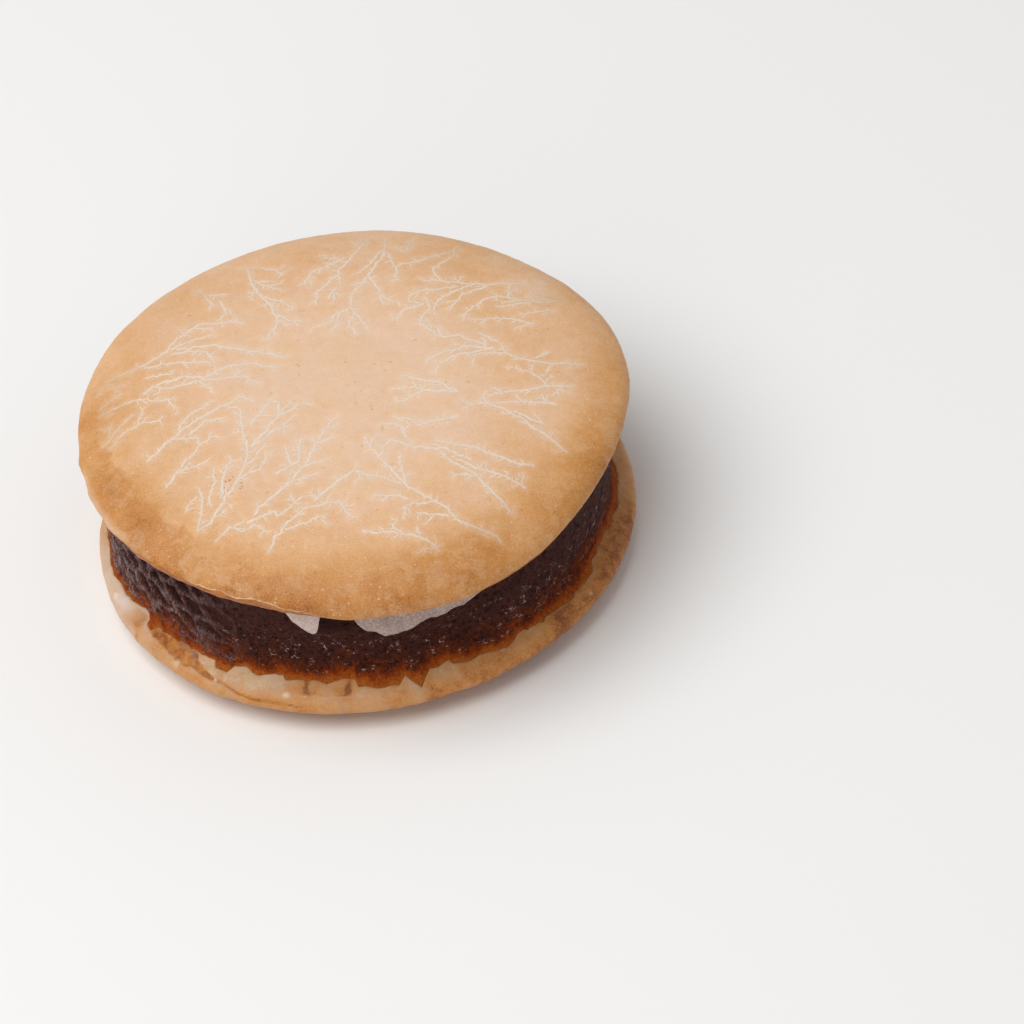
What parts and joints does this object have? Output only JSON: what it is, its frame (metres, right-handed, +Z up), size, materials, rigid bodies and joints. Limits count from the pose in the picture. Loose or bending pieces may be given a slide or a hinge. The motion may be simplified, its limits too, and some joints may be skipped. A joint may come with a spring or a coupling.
{
  "type": "alfajor cookie",
  "caption": "Round sandwich cookie: two domed biscuits with a thick layer of dark fruit jam between them, glazed all over.",
  "frame": {"origin": "middle of the flat underside that the cookie rests on", "axes": "+Z up through both biscuits, -Y towards the side with the two glaze tongues"},
  "size_m": [0.0682, 0.0683, 0.0249],
  "materials": {
    "biscuit": "satin, browned and mottled, with a thin film of set glaze",
    "glazed_biscuit": "satin sugar glaze over a pale browned biscuit, with fern-shaped sugar crystals",
    "jam": "glossy dark fruit jam, amber where it is thin"
  },
  "bodies": {
    "root": {"bottom_biscuit": "biscuit", "jam_filling": "jam", "top_biscuit": "glazed_biscuit"}
  },
  "joints": []
}
